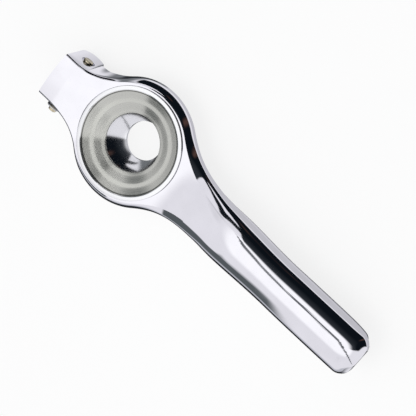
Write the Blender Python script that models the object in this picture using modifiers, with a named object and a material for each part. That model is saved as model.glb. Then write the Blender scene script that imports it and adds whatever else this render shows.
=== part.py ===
"""Lever citrus press: two cast arms on one hinge pin, a press dish above a juice cup.

Frame: metres, +Z up, X along the tool from the hinge (-X) to the handle end (+X).
The origin is at the middle of the bounding box, on the surface that the press stands on.
Lengths along the tool are written from the bowl's axis and shifted by BOWL_X at the end.
"""
import math

import bmesh
import bpy

# Overall layout, along X from the bowl's axis
HINGE_END = -0.0566
HINGE_END_BULGE = 0.0009
HANDLE_END = 0.1675
BOWL_X = -(HINGE_END - HINGE_END_BULGE + HANDLE_END) / 2

# Plan outline of the upper arm
RING_R = 0.0352
HOOD_HALF = 0.0161
HANDLE_HALF = 0.0120
HANDLE_WIDENING = 0.0005
WIDENING_RUN = 0.060
HANDLE_SWELL = 0.0018
SWELL_RUN = (0.030, 0.060)
SWELL_END_RUN = (0.066, 0.112)
HINGE_NECK_R = 0.040
HANDLE_NECK_R = 0.070
HANDLE_CORNER_R = 0.0056
HANDLE_END_BULGE = 0.0016

# Heights of the upper arm over the surface it stands on
LIP_Z = 0.0230
RING_TOP_Z = 0.02195
HOOD_TOP_Z = 0.0253
HANDLE_TOP_Z = 0.0306
RING_EDGE_Z = 0.0162
HOOD_EDGE_Z = 0.0243
HANDLE_EDGE_Z = 0.0244
TAIL_DROOP = 0.0032
RING_WALL_Z = 0.0132
HANDLE_WALL_Z = 0.0174
END_WALL_RISE = 0.0030
HOOD_WALL_BOTTOM = 0.0122

# Stretches of X, away from the bowl, over which one height runs into the next
HOOD_EDGE_RUN = (0.020, 0.046)
HOOD_TOP_RUN = (0.024, 0.048)
HANDLE_EDGE_RUN = (0.020, 0.078)
HANDLE_TOP_RUN = (0.030, 0.084)
HANDLE_CROWN_RUN = (0.030, 0.080)
HANDLE_ROUND_RUN = (0.012, 0.052)
TAIL_EDGE_RUN = (0.110, 0.200)
TAIL_TOP_RUN = (0.095, 0.200)
HOOD_WALL_RUN = (-0.030, 0.010)
HINGE_BULGE_RUN = (0.048, 0.056)
END_BULGE_RUN = 0.020
END_WALL_RUN = 0.014
HOOD_SHOULDER_RUN = (0.014, 0.040)
END_FALL_RUN = 0.014
END_TOP_LEFT = 0.25

# Rounding between the top and the side walls
RING_ROUND = 0.0037
HOOD_ROUND = 0.0010
HOOD_SHOULDER = 0.0027
HANDLE_ROUND = 0.0056
ROUND_START = math.radians(26)
ROUND_PULL = (0.68, 0.42)
PLATE_CROWN = 0.0002
HANDLE_CROWN = 0.0013
WALL = 0.0023
MOST_ROUND = 0.72
FOOT_CHAMFER = 0.0005

# Hollow under the upper arm
HOLLOW_BOTTOM = -0.006
HANDLE_TOP_EXTRA = 0.0006
HOLLOW_EDGE_SHARE = 0.6
HOLLOW_ROUND_SHARE = 0.8

# Hinge
PIN_X = -0.0484
PIN_Z = 0.0143
PIN_R = 0.00225
PIN_OUT_Y = -0.0197
PIN_HEAD_R = 0.0028
PIN_HEAD_DEPTH = 0.0014
PIN_HEAD_CHAMFER = 0.0005
PIN_TIP_CHAMFER = 0.0007
POCKET_R = 0.0039
POCKET_DEPTH = 0.0022
EAR_FRONT_X = -0.0425
EAR_BOTTOM = 0.0015
EAR_HALF = 0.0070
EAR_RISE_RUN = (-0.0425, -0.0350)
EAR_WALL = 0.0038
EAR_WALL_RUN = (0.038, 0.042)
CLIP_R = 0.0042
CLIP_THICKNESS = 0.0007
BUSH_R = 0.0038
BUSH_FLANGE_R = 0.0058
BUSH_FLANGE = 0.0012
BOSS_R = 0.0069
TONGUE_HALF = 0.0101
EAR_SWING_R = 0.0147
TONGUE_FLARE = 2.0

# Fits
GAP = 0.0003
ARM_CLEARANCE = 0.0008

# Press dish and cup
DISH_BORE_R = 0.0289
DISH_FLANGE_R = 0.03075
DISH_FLANGE_T = 0.0008
DISH_RIM_R = 0.02835
DISH_OPENING_R = 0.0157
DISH_RING_OUT_R = 0.0300
DISH_GROOVE = 0.0006
DISH_GROOVE_DEPTHS = (0.0040, 0.0049)
DISH_RING_DEPTHS = (0.0042, 0.0047)
CUTTER_REACH = 0.030
CUP_SPHERE_R = 0.0270
CUP_SPHERE_UP = 0.0037
CUP_WALL = 0.0015
CUP_FLANGE_Z = 0.0156
CUP_FLANGE_R = 0.0292
CUP_FLANGE_T = 0.0011
CUP_FOOT_R = 0.0135
DRAIN_R = 0.0108
CUP_BORE_R = 0.0262

# Dish wall, as radius and depth below the lip: under the flange, then up the inside
DISH_UNDERSIDE = [(0.0255, 0.0058), (0.0200, 0.0064)]
DISH_ROLLED_EDGE = [(0.0008, 0.0066), (0.0, 0.0060), (0.0003, 0.0053), (0.0014, 0.0049)]
DISH_STEPS = [
    (0.0180, 0.0046), (0.0200, 0.0036), (0.0214, 0.0029), (0.0220, 0.0027),
    (0.0238, 0.0025), (0.0244, 0.0023), (0.0274, 0.0009), (0.02785, 0.0006),
]

# Lower arm
LOWER_INSET = WALL + ARM_CLEARANCE
LOWER_RING_TOP = 0.0142
LOWER_RING_BOTTOM = 0.0088
LOWER_HANDLE_TOP = 0.0190
LOWER_HANDLE_BOTTOM = 0.0020
LOWER_END = HANDLE_END - 0.0035
LOWER_ROUND = 0.0042
LOWER_WALL = 0.0021
LOWER_CROWN = 0.0003
LOWER_RING_ROUND = 0.0010
LOWER_CORNER_R = 0.0050
LOWER_HOLLOW_R = 0.0040
LOWER_HOLLOW_ROUND = 0.0020
LOWER_FLOOR_EXTRA = 0.0075
LOWER_END_RISE = 0.0075
NECK_RAISE = 0.0022
LOWER_TOP_RUN = (0.036, 0.080)
LOWER_BOTTOM_RUN = (0.034, 0.085)
LOWER_BELLY_RUN = (0.090, 0.150)
LOWER_ROUND_RUN = (0.040, 0.085)
LOWER_HOLLOW_RUN = (0.048, 0.062)
NECK_RAISE_RUN = (0.030, 0.040)
TONGUE_RUN = (0.029, 0.040)
LOWER_FALL_RUN = 0.016
RIM_CHAMFER = 0.0004
EDGE_CHAMFER = 0.0003

# Mesh fineness
ROUND_STEPS = 4
TURN_STEPS = 40
PIN_STEPS = 20
CUP_ARC_STEPS = (5, 6)
SHARP_ANGLE = math.radians(35)
MERGE_DISTANCE = 0.00001
STEP_RUN = 0.00005
LEAST_STATION = 0.0003

PARTS = "citrus_press"
CUTTERS = "cutters"


def clear_scene():
    for item in list(bpy.data.objects):
        bpy.data.objects.remove(item)


def collection(name):
    group = bpy.data.collections.new(name)
    bpy.context.scene.collection.children.link(group)
    return group


def material(name, colour, roughness, metallic=1.0):
    made = bpy.data.materials.new(name)
    made.use_nodes = True
    shader = made.node_tree.nodes["Principled BSDF"]
    shader.inputs["Base Color"].default_value = (*colour, 1.0)
    shader.inputs["Roughness"].default_value = roughness
    shader.inputs["Metallic"].default_value = metallic
    return made


def ease(value):
    """0 below 0, 1 above 1, and a smooth S between them."""
    t = min(max(value, 0.0), 1.0)
    return t * t * (3.0 - 2.0 * t)


def blend(x, start, end):
    return ease((x - start) / (end - start))


# Plan outline ---------------------------------------------------------------

def neck_centre(flank, neck_r):
    """Distance along X of the neck arc's centre, tangent to the flank and to the ring."""
    return math.sqrt((RING_R + neck_r) ** 2 - (flank + neck_r) ** 2)


def swell(x):
    """How much wider the handle starts, where it leaves the ring."""
    return HANDLE_SWELL * blend(x, *SWELL_RUN) * (1 - blend(x, *SWELL_END_RUN))


def half_width(x, inset=0.0):
    """Half of the outline's width at x, moved inwards by the inset."""
    side = HOOD_HALF if x < 0 else HANDLE_HALF
    neck_r = HINGE_NECK_R if x < 0 else HANDLE_NECK_R
    reach = abs(x)
    centre = neck_centre(side, neck_r)
    tangent = centre * RING_R / (RING_R + neck_r)
    if reach <= tangent * (1 - inset / RING_R):
        return math.sqrt((RING_R - inset) ** 2 - x * x)
    if reach < centre:
        radius = neck_r + inset
        return side + neck_r - math.sqrt(radius ** 2 - (centre - reach) ** 2) + swell(x)
    widening = HANDLE_WIDENING * blend(x, centre, centre + WIDENING_RUN)
    return side + widening + swell(x) - inset


def corner(x, end, radius, half):
    """Half width at a rounded end, where the corner arc takes off up to the radius."""
    into = x - (end - radius)
    if into <= 0:
        return half
    return half - radius + math.sqrt(max(radius ** 2 - into ** 2, 0.0))


# Side profile ---------------------------------------------------------------

def edge_height(x):
    """Height of the line where the rounded top meets the side wall."""
    hinge = (HOOD_EDGE_Z - RING_EDGE_Z) * blend(-x, *HOOD_EDGE_RUN)
    handle = (HANDLE_EDGE_Z - RING_EDGE_Z) * blend(x, *HANDLE_EDGE_RUN)
    return RING_EDGE_Z + hinge + handle - TAIL_DROOP * blend(x, *TAIL_EDGE_RUN)


def top_height(x):
    hinge = (HOOD_TOP_Z - RING_TOP_Z) * blend(-x, *HOOD_TOP_RUN)
    handle = (HANDLE_TOP_Z - RING_TOP_Z) * blend(x, *HANDLE_TOP_RUN)
    return RING_TOP_Z + hinge + handle - TAIL_DROOP * blend(x, *TAIL_TOP_RUN)


def top_rounding(x, half):
    rounding = RING_ROUND + (HANDLE_ROUND - RING_ROUND) * blend(x, *HANDLE_ROUND_RUN)
    rounding += (HOOD_ROUND - RING_ROUND) * blend(-x, *HOOD_SHOULDER_RUN)
    return min(rounding, half * MOST_ROUND)


def shoulder(x):
    """How far the hood's side wall leans in from its foot to the edge of its flat top."""
    return HOOD_SHOULDER * blend(-x, *HOOD_SHOULDER_RUN)


def crown_height(x):
    """How far the middle of the top stands over its shoulders."""
    return PLATE_CROWN + (HANDLE_CROWN - PLATE_CROWN) * blend(x, *HANDLE_CROWN_RUN)


def tail_fall(x, end, length):
    """1 along the handle, falling on a quarter ellipse to 0 at its end."""
    into = x - (end - length)
    if into <= 0:
        return 1.0
    return math.sqrt(max(1.0 - (into / length) ** 2, 0.0))


def ear_bottom(x):
    """The ears hang down beside the pin and end in a half circle."""
    middle = EAR_FRONT_X - EAR_HALF
    across = min(abs(x - middle) / EAR_HALF, 1.0)
    return EAR_BOTTOM + EAR_HALF * (1 - math.sqrt(1 - across ** 2))


def wall_bottom(x):
    if x <= EAR_FRONT_X:
        return ear_bottom(x)
    foot = RING_WALL_Z + (HANDLE_WALL_Z - RING_WALL_Z) * blend(x, *HANDLE_EDGE_RUN)
    foot -= TAIL_DROOP * blend(x, *TAIL_EDGE_RUN)
    foot += END_WALL_RISE * blend(x, HANDLE_END - END_WALL_RUN, HANDLE_END)
    along = blend(x, *HOOD_WALL_RUN)
    hood = EAR_BOTTOM + EAR_HALF
    hood += (HOOD_WALL_BOTTOM - hood) * blend(x, *EAR_RISE_RUN)
    return hood * (1 - along) + foot * along


# Lofts ----------------------------------------------------------------------

def rounded_edge(inner, outer, top, edge):
    """Cubic curve from (inner, top) to (outer, edge)."""
    first, last = ROUND_PULL[0] * (outer - inner), ROUND_PULL[1] * (edge - top)
    ys = (inner, inner + first * math.cos(ROUND_START), outer, outer)
    fall = math.copysign(first * math.sin(ROUND_START), top - edge)
    zs = (top, top - fall, edge - last, edge)
    points = []
    for step in range(ROUND_STEPS + 1):
        t = step / ROUND_STEPS
        shares = ((1 - t) ** 3, 3 * t * (1 - t) ** 2, 3 * t * t * (1 - t), t ** 3)
        points.append(tuple(sum(s * v for s, v in zip(shares, vs)) for vs in (ys, zs)))
    return points


def arch(half, top, edge, bottom, rounding, foot, crown, lean=0.0):
    """Half section from the crown round to the foot, as (y, z) pairs.

    The side wall leans in by `lean` between its foot and the rounded edge. The rounding
    leaves the top at ROUND_START and ends upright, on a cubic curve.
    """
    flat = half - lean - rounding
    points = [(0.0, top + crown), (flat * 0.5, top + crown * 0.75)]
    points += rounded_edge(flat, half - lean, top, edge)
    points.append((half, bottom + foot))
    points.append((half - abs(foot), bottom))
    return points


def cap(shape, ring):
    """Closes an end with a ladder of flat faces, each joining points at +Y and -Y."""
    count = len(ring)
    shape.faces.new((ring[0], ring[1], ring[-1]))
    for i in range(1, count // 2):
        shape.faces.new((ring[i], ring[i + 1], ring[count - i - 1], ring[count - i]))


def loft(name, stations, section, shear, group, finish):
    """A closed solid through half sections at the stations, mirrored about Y = 0."""
    shape = bmesh.new()
    rings = []
    for x in stations:
        half = section(x)
        loop = half + [(-y, z) for y, z in reversed(half[1:])]
        rings.append([shape.verts.new((x + shear(x, y), y, z)) for y, z in loop])
    count = len(rings[0])
    for first, second in zip(rings, rings[1:]):
        for i in range(count):
            j = (i + 1) % count
            shape.faces.new((first[i], first[j], second[j], second[i]))
    for ring in (rings[0], rings[-1]):
        cap(shape, ring)
    bmesh.ops.recalc_face_normals(shape, faces=shape.faces)
    return add_mesh(name, shape, group, finish)


def add_mesh(name, shape, group, finish):
    mesh = bpy.data.meshes.new(name)
    shape.to_mesh(mesh)
    shape.free()
    made = bpy.data.objects.new(name, mesh)
    group.objects.link(made)
    made.location.x = BOWL_X
    if finish:
        mesh.materials.append(finish)
    mesh.shade_smooth()
    mesh.set_sharp_from_angle(angle=SHARP_ANGLE)
    return made


def spread(start, end, count):
    return [start + (end - start) * i / count for i in range(count + 1)]


def end_stations(end, length, count):
    """Stations that crowd towards a rounded end."""
    return [end - length * (1 - math.sin(math.pi / 2 * i / count)) for i in range(1, count + 1)]


def turned(name, profile, group, finish, axis_y=None):
    """A turned solid from a closed profile of (radius, height) pairs.

    The profile runs down its outer side first. With axis_y the axis lies along Y
    through the hinge pin, and heights become distances along Y.
    """
    mesh = bpy.data.meshes.new(name)
    points = [(r, 0.0, h) for r, h in profile]
    edges = [(i, i + 1) for i in range(len(points) - 1)]
    if profile[0][0] > 0:
        edges.append((len(points) - 1, 0))
    mesh.from_pydata(points, edges, [])
    made = bpy.data.objects.new(name, mesh)
    group.objects.link(made)
    screw = made.modifiers.new("turn", "SCREW")
    screw.steps = TURN_STEPS if axis_y is None else PIN_STEPS
    screw.render_steps = screw.steps
    screw.merge_threshold = MERGE_DISTANCE
    screw.use_merge_vertices = True
    screw.use_normal_calculate = False
    made.location.x = BOWL_X
    if axis_y is not None:
        made.location = (BOWL_X + PIN_X, axis_y, PIN_Z)
        made.rotation_euler = (math.radians(-90), 0.0, 0.0)
    settle(made)
    if finish:
        made.data.materials.append(finish)
    return made


def settle(item):
    """Replaces the object's mesh with its evaluated one, faces pointing out, in world place."""
    bpy.context.view_layer.update()
    graph = bpy.context.evaluated_depsgraph_get()
    mesh = bpy.data.meshes.new_from_object(item.evaluated_get(graph))
    item.modifiers.clear()
    old = item.data
    item.data = mesh
    bpy.data.meshes.remove(old)
    shape = bmesh.new()
    shape.from_mesh(mesh)
    bmesh.ops.remove_doubles(shape, verts=shape.verts, dist=MERGE_DISTANCE / 10)
    bmesh.ops.recalc_face_normals(shape, faces=shape.faces)
    shape.to_mesh(mesh)
    shape.free()
    mesh.shade_smooth()
    mesh.set_sharp_from_angle(angle=SHARP_ANGLE)


def cut(target, cutter):
    cutter.hide_render = True
    cutter.display_type = "WIRE"
    step = target.modifiers.new("cut_" + cutter.name, "BOOLEAN")
    step.operation = "DIFFERENCE"
    step.solver = "EXACT"
    step.object = cutter


def bore(name, radius, low, high, group, across=False):
    """A cylinder cutter: upright at the bowl, or along Y at the pin."""
    profile = [(0.0, high), (radius, high), (radius, low), (0.0, low)]
    return turned(name, profile, group, None, 0.0 if across else None)


# Parts ----------------------------------------------------------------------

def arm_shear(x, y):
    """Bows the hinge end and the handle end outwards in plan."""
    hinge = -HINGE_END_BULGE * (1 - (y / HOOD_HALF) ** 2) * blend(-x, *HINGE_BULGE_RUN)
    across = min(abs(y) / HANDLE_HALF, 1.0)
    handle = -HANDLE_END_BULGE * across ** 2 * blend(x, HANDLE_END - END_BULGE_RUN, HANDLE_END)
    return hinge + handle


def upper_outside(x):
    half = corner(x, HANDLE_END, HANDLE_CORNER_R, half_width(x))
    fall = tail_fall(x, HANDLE_END, END_FALL_RUN)
    edge = edge_height(x)
    top = edge + (top_height(x) - edge) * (END_TOP_LEFT + (1 - END_TOP_LEFT) * fall)
    rounding = top_rounding(x, half)
    bottom = wall_bottom(x)
    return arch(half, top, edge, bottom, rounding, FOOT_CHAMFER, crown_height(x), shoulder(x))


def upper_inside(x):
    wall = WALL + (EAR_WALL - WALL) * blend(-x, *EAR_WALL_RUN)
    half = corner(x, HANDLE_END - WALL, HANDLE_CORNER_R - WALL, half_width(x, wall))
    top = top_height(x) - WALL - HANDLE_TOP_EXTRA * blend(x, *HANDLE_TOP_RUN)
    edge = edge_height(x) - WALL * HOLLOW_EDGE_SHARE
    rounding = top_rounding(x, half) * HOLLOW_ROUND_SHARE
    return arch(half, top, edge, HOLLOW_BOTTOM, rounding, FOOT_CHAMFER, crown_height(x))


def unsheared(x, y):
    return 0.0


def make_upper_arm(parts, cutters, chrome):
    ears = [EAR_FRONT_X - EAR_HALF * (1 - math.cos(math.pi * i / 8)) for i in range(1, 8)]
    stations = [HINGE_END] + [x for x in sorted(ears) if x > HINGE_END + LEAST_STATION]
    stations += [EAR_FRONT_X, EAR_FRONT_X + STEP_RUN]
    stations += spread(-0.0405, 0.0765, 26) + spread(0.088, 0.158, 5)
    stations += end_stations(HANDLE_END, 0.0135, 5)
    arm = loft("upper_arm", stations, upper_outside, arm_shear, parts, chrome)
    hollow_stations = [-0.0600, -0.0440] + spread(-0.0425, 0.0765, 22)
    hollow_stations += spread(0.092, 0.160, 4) + end_stations(HANDLE_END - WALL, 0.009, 3)
    hollow = loft("upper_hollow", hollow_stations, upper_inside, unsheared, cutters, None)
    cut(arm, hollow)
    seat_r, seat_z = DISH_FLANGE_R + GAP, LIP_Z - DISH_FLANGE_T - GAP
    above, below = LIP_Z + CUTTER_REACH / 2, LIP_Z - CUTTER_REACH / 2
    hole = [(0.0, above), (seat_r, above), (seat_r, seat_z)]
    hole += [(DISH_BORE_R, seat_z), (DISH_BORE_R, below), (0.0, below)]
    cut(arm, turned("dish_bore", hole, cutters, None))
    pocket_floor = HOOD_HALF - POCKET_DEPTH
    hole = [(0.0, CUTTER_REACH), (POCKET_R, CUTTER_REACH), (POCKET_R, pocket_floor)]
    hole += [(PIN_R + GAP, pocket_floor), (PIN_R + GAP, -CUTTER_REACH), (0.0, -CUTTER_REACH)]
    cut(arm, turned("ear_bore", hole, cutters, None, 0.0))
    return arm


def boss_half_height(x):
    return math.sqrt(max(BOSS_R ** 2 - (x - PIN_X) ** 2, 0.0))


def lower_top(x):
    boss = PIN_Z + boss_half_height(x)
    if x < PIN_X:
        return boss
    handle = (LOWER_HANDLE_TOP - LOWER_RING_TOP) * blend(x, *LOWER_TOP_RUN)
    neck = NECK_RAISE * blend(-x, *NECK_RAISE_RUN)
    height = LOWER_RING_TOP + handle + neck - TAIL_DROOP * blend(x, *TAIL_EDGE_RUN)
    return max(height, boss) if x < PIN_X + BOSS_R else height


def lower_bottom(x):
    """Height of the underside's shoulders: along the belly its crown touches Z = 0."""
    boss = PIN_Z - boss_half_height(x)
    if x < PIN_X:
        return boss
    handle = (LOWER_HANDLE_BOTTOM - LOWER_RING_BOTTOM) * blend(x, *LOWER_BOTTOM_RUN)
    belly = (LOWER_CROWN - LOWER_HANDLE_BOTTOM) * blend(x, *LOWER_BELLY_RUN)
    rise = LOWER_END_RISE * (1 - tail_fall(x, LOWER_END, LOWER_FALL_RUN))
    height = LOWER_RING_BOTTOM + handle + belly + rise
    return min(height, boss) if x < PIN_X + BOSS_R else height


def lower_half(x):
    inset = LOWER_INSET + (HOOD_HALF - TONGUE_HALF - LOWER_INSET) * blend(-x, *TONGUE_RUN)
    half = corner(x, LOWER_END, LOWER_CORNER_R, half_width(x, inset))
    past_ears = max(x - PIN_X - EAR_SWING_R, 0.0)
    return min(half, TONGUE_HALF + TONGUE_FLARE * past_ears)


def lower_outside(x):
    """Half section with its rounding underneath: an arch turned upside down."""
    half = lower_half(x)
    low, high = lower_bottom(x), lower_top(x)
    rounding = LOWER_RING_ROUND + (LOWER_ROUND - LOWER_RING_ROUND) * blend(x, *LOWER_ROUND_RUN)
    rounding = min(rounding, (high - low) * 0.4, half * MOST_ROUND)
    return arch(half, low, low + rounding, high, rounding, -RIM_CHAMFER, -LOWER_CROWN)


def lower_inside(x):
    width = half_width(x, LOWER_INSET + LOWER_WALL)
    half = corner(x, LOWER_END - LOWER_WALL, LOWER_HOLLOW_R, width)
    low = lower_bottom(x) + LOWER_WALL + LOWER_FLOOR_EXTRA * (1 - blend(x, *LOWER_HOLLOW_RUN))
    edge = low + LOWER_HOLLOW_ROUND
    return arch(half, low, edge, CUTTER_REACH, LOWER_HOLLOW_ROUND, -RIM_CHAMFER, -LOWER_CROWN)


def make_lower_arm(parts, cutters, chrome):
    behind = [PIN_X - BOSS_R * math.cos(math.pi / 2 * i / 6) for i in range(1, 7)]
    ahead = [PIN_X + BOSS_R * share for share in (0.3, 0.6, 0.85, 1.0)]
    stations = [PIN_X - BOSS_R * 0.995] + behind + ahead
    stations += spread(-0.0400, 0.0800, 24) + spread(0.094, 0.153, 4)
    stations += end_stations(LOWER_END, 0.0155, 5)
    arm = loft("lower_arm", stations, lower_outside, unsheared, parts, chrome)
    hollow_stations = spread(0.046, 0.0800, 6) + spread(0.098, 0.155, 3)
    hollow_stations += end_stations(LOWER_END - LOWER_WALL, 0.010, 3)
    hollow = loft("lower_hollow", hollow_stations, lower_inside, unsheared, cutters, None)
    cut(arm, hollow)
    cut(arm, bore("cup_bore", CUP_BORE_R, HOLLOW_BOTTOM, CUTTER_REACH, cutters))
    cut(arm, bore("tongue_bore", BUSH_R + GAP, -CUTTER_REACH, CUTTER_REACH, cutters, across=True))
    return arm


def make_press_dish(parts, steel):
    """Flange on the ring, a grooved outside, a rolled edge round the opening, and stepped walls."""
    outer_r = DISH_BORE_R - GAP
    groove_r = outer_r - DISH_GROOVE
    groove_top, groove_low = DISH_GROOVE_DEPTHS
    profile = [
        (DISH_RIM_R + RIM_CHAMFER, 0.0), (DISH_FLANGE_R - EDGE_CHAMFER, 0.0), (DISH_FLANGE_R, EDGE_CHAMFER),
        (DISH_FLANGE_R, DISH_FLANGE_T), (outer_r, DISH_FLANGE_T),
        (outer_r, groove_top), (groove_r, groove_top), (groove_r, groove_low), (outer_r, groove_low),
        (outer_r, groove_low + DISH_GROOVE),
    ]
    profile += DISH_UNDERSIDE
    profile += [(DISH_OPENING_R + out, depth) for out, depth in DISH_ROLLED_EDGE]
    profile += DISH_STEPS
    profile.append((DISH_RIM_R, RIM_CHAMFER / 2))
    return turned("press_dish", [(r, LIP_Z - depth) for r, depth in profile], parts, steel)


def make_dish_ring(parts, steel):
    """A snap ring in the dish's groove, under the upper arm's ring."""
    inner = DISH_BORE_R - DISH_GROOVE
    high, low = [LIP_Z - depth for depth in DISH_RING_DEPTHS]
    profile = [(inner, high), (DISH_RING_OUT_R, high), (DISH_RING_OUT_R, low), (inner, low)]
    return turned("dish_ring", profile, parts, steel)


def sphere_arc(radius, centre, angles, count):
    """Points of (radius, height) along a sphere, by the angle from straight down."""
    return [(radius * math.sin(a), centre - radius * math.cos(a)) for a in spread(*angles, count)]


def make_juice_cup(parts, polished):
    """A spherical cup with a flange on the lower ring, a flat foot and one round drain hole."""
    centre = LIP_Z + CUP_SPHERE_UP
    flange_low = CUP_FLANGE_Z - CUP_FLANGE_T
    outer_r = CUP_SPHERE_R + CUP_WALL
    outer_angles = (math.acos((centre - flange_low) / outer_r), math.asin(CUP_FOOT_R / outer_r))
    rim_angle = math.acos((centre - CUP_FLANGE_Z) / CUP_SPHERE_R)
    inner_angles = (math.asin(DRAIN_R / CUP_SPHERE_R), rim_angle)
    outer_steps, inner_steps = CUP_ARC_STEPS
    profile = [(CUP_FLANGE_R, CUP_FLANGE_Z), (CUP_FLANGE_R, flange_low)]
    profile += sphere_arc(outer_r, centre, outer_angles, outer_steps)
    profile += [(CUP_FOOT_R - EDGE_CHAMFER, 0.0), (DRAIN_R + RIM_CHAMFER, 0.0), (DRAIN_R, RIM_CHAMFER)]
    profile += sphere_arc(CUP_SPHERE_R, centre, inner_angles, inner_steps)
    return turned("juice_cup", profile, parts, polished)


def make_pin(parts, brass):
    """Shank with a head in the ear's pocket and a chamfered end that stands out on the other side."""
    head_top = HOOD_HALF - GAP
    head_low = head_top - PIN_HEAD_DEPTH
    profile = [
        (0.0, head_top), (PIN_HEAD_R - PIN_HEAD_CHAMFER, head_top),
        (PIN_HEAD_R, head_top - PIN_HEAD_CHAMFER), (PIN_HEAD_R, head_low), (PIN_R, head_low),
        (PIN_R, PIN_OUT_Y + PIN_TIP_CHAMFER), (PIN_R - PIN_TIP_CHAMFER, PIN_OUT_Y), (0.0, PIN_OUT_Y),
    ]
    return turned("hinge_pin", profile, parts, brass, 0.0)


def make_clip(parts, steel):
    high = -half_width(PIN_X + CLIP_R) - GAP
    low = high - CLIP_THICKNESS
    inner = PIN_R + GAP
    profile = [(inner, high), (CLIP_R, high), (CLIP_R, low), (inner, low)]
    return turned("pin_clip", profile, parts, steel, 0.0)


def make_bush(name, side, parts, brass):
    """Half of the tongue's lining: a sleeve, and a flange between the tongue and the ear."""
    inner = PIN_R + GAP
    flange_in = TONGUE_HALF + GAP
    flange_out = flange_in + BUSH_FLANGE
    sleeve_end = GAP
    profile = [
        (BUSH_FLANGE_R, flange_out), (BUSH_FLANGE_R, flange_in), (BUSH_R, flange_in),
        (BUSH_R, sleeve_end), (inner, sleeve_end), (inner, flange_out),
    ]
    profile = [(r, side * y) for r, y in profile]
    if side < 0:
        profile.reverse()
    return turned(name, profile, parts, brass, 0.0)


def hang_on_hinge(moving):
    """The moving pieces share an empty on the pin's axis."""
    pivot = bpy.data.objects.new("hinge_axis", None)
    bpy.context.scene.collection.objects.link(pivot)
    pivot.location = (BOWL_X + PIN_X, 0.0, PIN_Z)
    bpy.context.view_layer.update()
    for item in moving:
        item.parent = pivot
        item.matrix_parent_inverse = pivot.matrix_world.inverted()


def main():
    clear_scene()
    parts = collection(PARTS)
    cutters = collection(CUTTERS)
    chrome = material("chrome", (0.78, 0.78, 0.80), 0.06)
    satin = material("satin_steel", (0.60, 0.60, 0.57), 0.34)
    polished = material("polished_steel", (0.76, 0.76, 0.78), 0.04)
    brass = material("brass", (0.72, 0.60, 0.36), 0.22)
    spring = material("spring_steel", (0.45, 0.45, 0.46), 0.30)
    upper = make_upper_arm(parts, cutters, chrome)
    make_lower_arm(parts, cutters, chrome)
    dish = make_press_dish(parts, satin)
    ring = make_dish_ring(parts, spring)
    make_juice_cup(parts, polished)
    pin = make_pin(parts, brass)
    clip = make_clip(parts, spring)
    make_bush("bush_left", -1, parts, brass)
    make_bush("bush_right", 1, parts, brass)
    hang_on_hinge([upper, dish, ring, pin, clip])


main()
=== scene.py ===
"""Looks of the lever citrus press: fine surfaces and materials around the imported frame.

Metres, +Z up. X runs along the tool from the hinge to the handle end, and lengths along it
are written from the bowl's axis and shifted by BOWL_X. Profiles repeat the frame's own
dimensions, with smooth curves where the frame has facets.
"""
import math

import bmesh
import bpy
from mathutils import Matrix, Vector
from mathutils.bvhtree import BVHTree
from mathutils.interpolate import poly_3d_calc


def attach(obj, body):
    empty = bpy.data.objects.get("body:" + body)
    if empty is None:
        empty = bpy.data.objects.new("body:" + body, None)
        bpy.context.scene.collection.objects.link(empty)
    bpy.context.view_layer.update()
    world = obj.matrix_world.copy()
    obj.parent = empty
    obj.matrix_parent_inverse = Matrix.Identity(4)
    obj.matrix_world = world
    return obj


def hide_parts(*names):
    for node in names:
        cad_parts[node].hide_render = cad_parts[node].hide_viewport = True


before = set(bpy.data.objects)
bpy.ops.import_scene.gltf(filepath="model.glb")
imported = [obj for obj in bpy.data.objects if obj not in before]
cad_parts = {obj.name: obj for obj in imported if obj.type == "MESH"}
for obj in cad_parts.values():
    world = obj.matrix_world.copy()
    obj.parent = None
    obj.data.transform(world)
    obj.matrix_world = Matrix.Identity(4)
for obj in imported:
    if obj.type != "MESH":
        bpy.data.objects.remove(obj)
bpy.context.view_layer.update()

# Overall layout, along X from the bowl's axis
HINGE_END = -0.0566
HINGE_END_BULGE = 0.0009
HANDLE_END = 0.1675
BOWL_X = -(HINGE_END - HINGE_END_BULGE + HANDLE_END) / 2

# Plan outline of the upper arm
RING_R = 0.0352
HOOD_HALF = 0.0161
HANDLE_HALF = 0.0120
HANDLE_WIDENING = 0.0005
WIDENING_RUN = 0.060
HANDLE_SWELL = 0.0018
SWELL_RUN = (0.030, 0.060)
SWELL_END_RUN = (0.066, 0.112)
HINGE_NECK_R = 0.040
HANDLE_NECK_R = 0.070
HANDLE_CORNER_R = 0.0056
HANDLE_END_BULGE = 0.0016

# Heights of the upper arm
LIP_Z = 0.0230
RING_TOP_Z = 0.02195
HOOD_TOP_Z = 0.0253
HANDLE_TOP_Z = 0.0306
RING_EDGE_Z = 0.0162
HOOD_EDGE_Z = 0.0243
HANDLE_EDGE_Z = 0.0244
TAIL_DROOP = 0.0032
RING_WALL_Z = 0.0132
HANDLE_WALL_Z = 0.0174
END_WALL_RISE = 0.0030
HOOD_WALL_BOTTOM = 0.0122

# Stretches of X over which one height runs into the next
HOOD_EDGE_RUN = (0.020, 0.046)
HOOD_TOP_RUN = (0.024, 0.048)
HANDLE_EDGE_RUN = (0.020, 0.078)
HANDLE_TOP_RUN = (0.030, 0.084)
HANDLE_CROWN_RUN = (0.030, 0.080)
HANDLE_ROUND_RUN = (0.012, 0.052)
TAIL_EDGE_RUN = (0.110, 0.200)
TAIL_TOP_RUN = (0.095, 0.200)
HOOD_WALL_RUN = (-0.030, 0.010)
HINGE_BULGE_RUN = (0.048, 0.056)
END_BULGE_RUN = 0.020
END_WALL_RUN = 0.014
HOOD_SHOULDER_RUN = (0.014, 0.040)
END_FALL_RUN = 0.014
END_TOP_LEFT = 0.25

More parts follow.
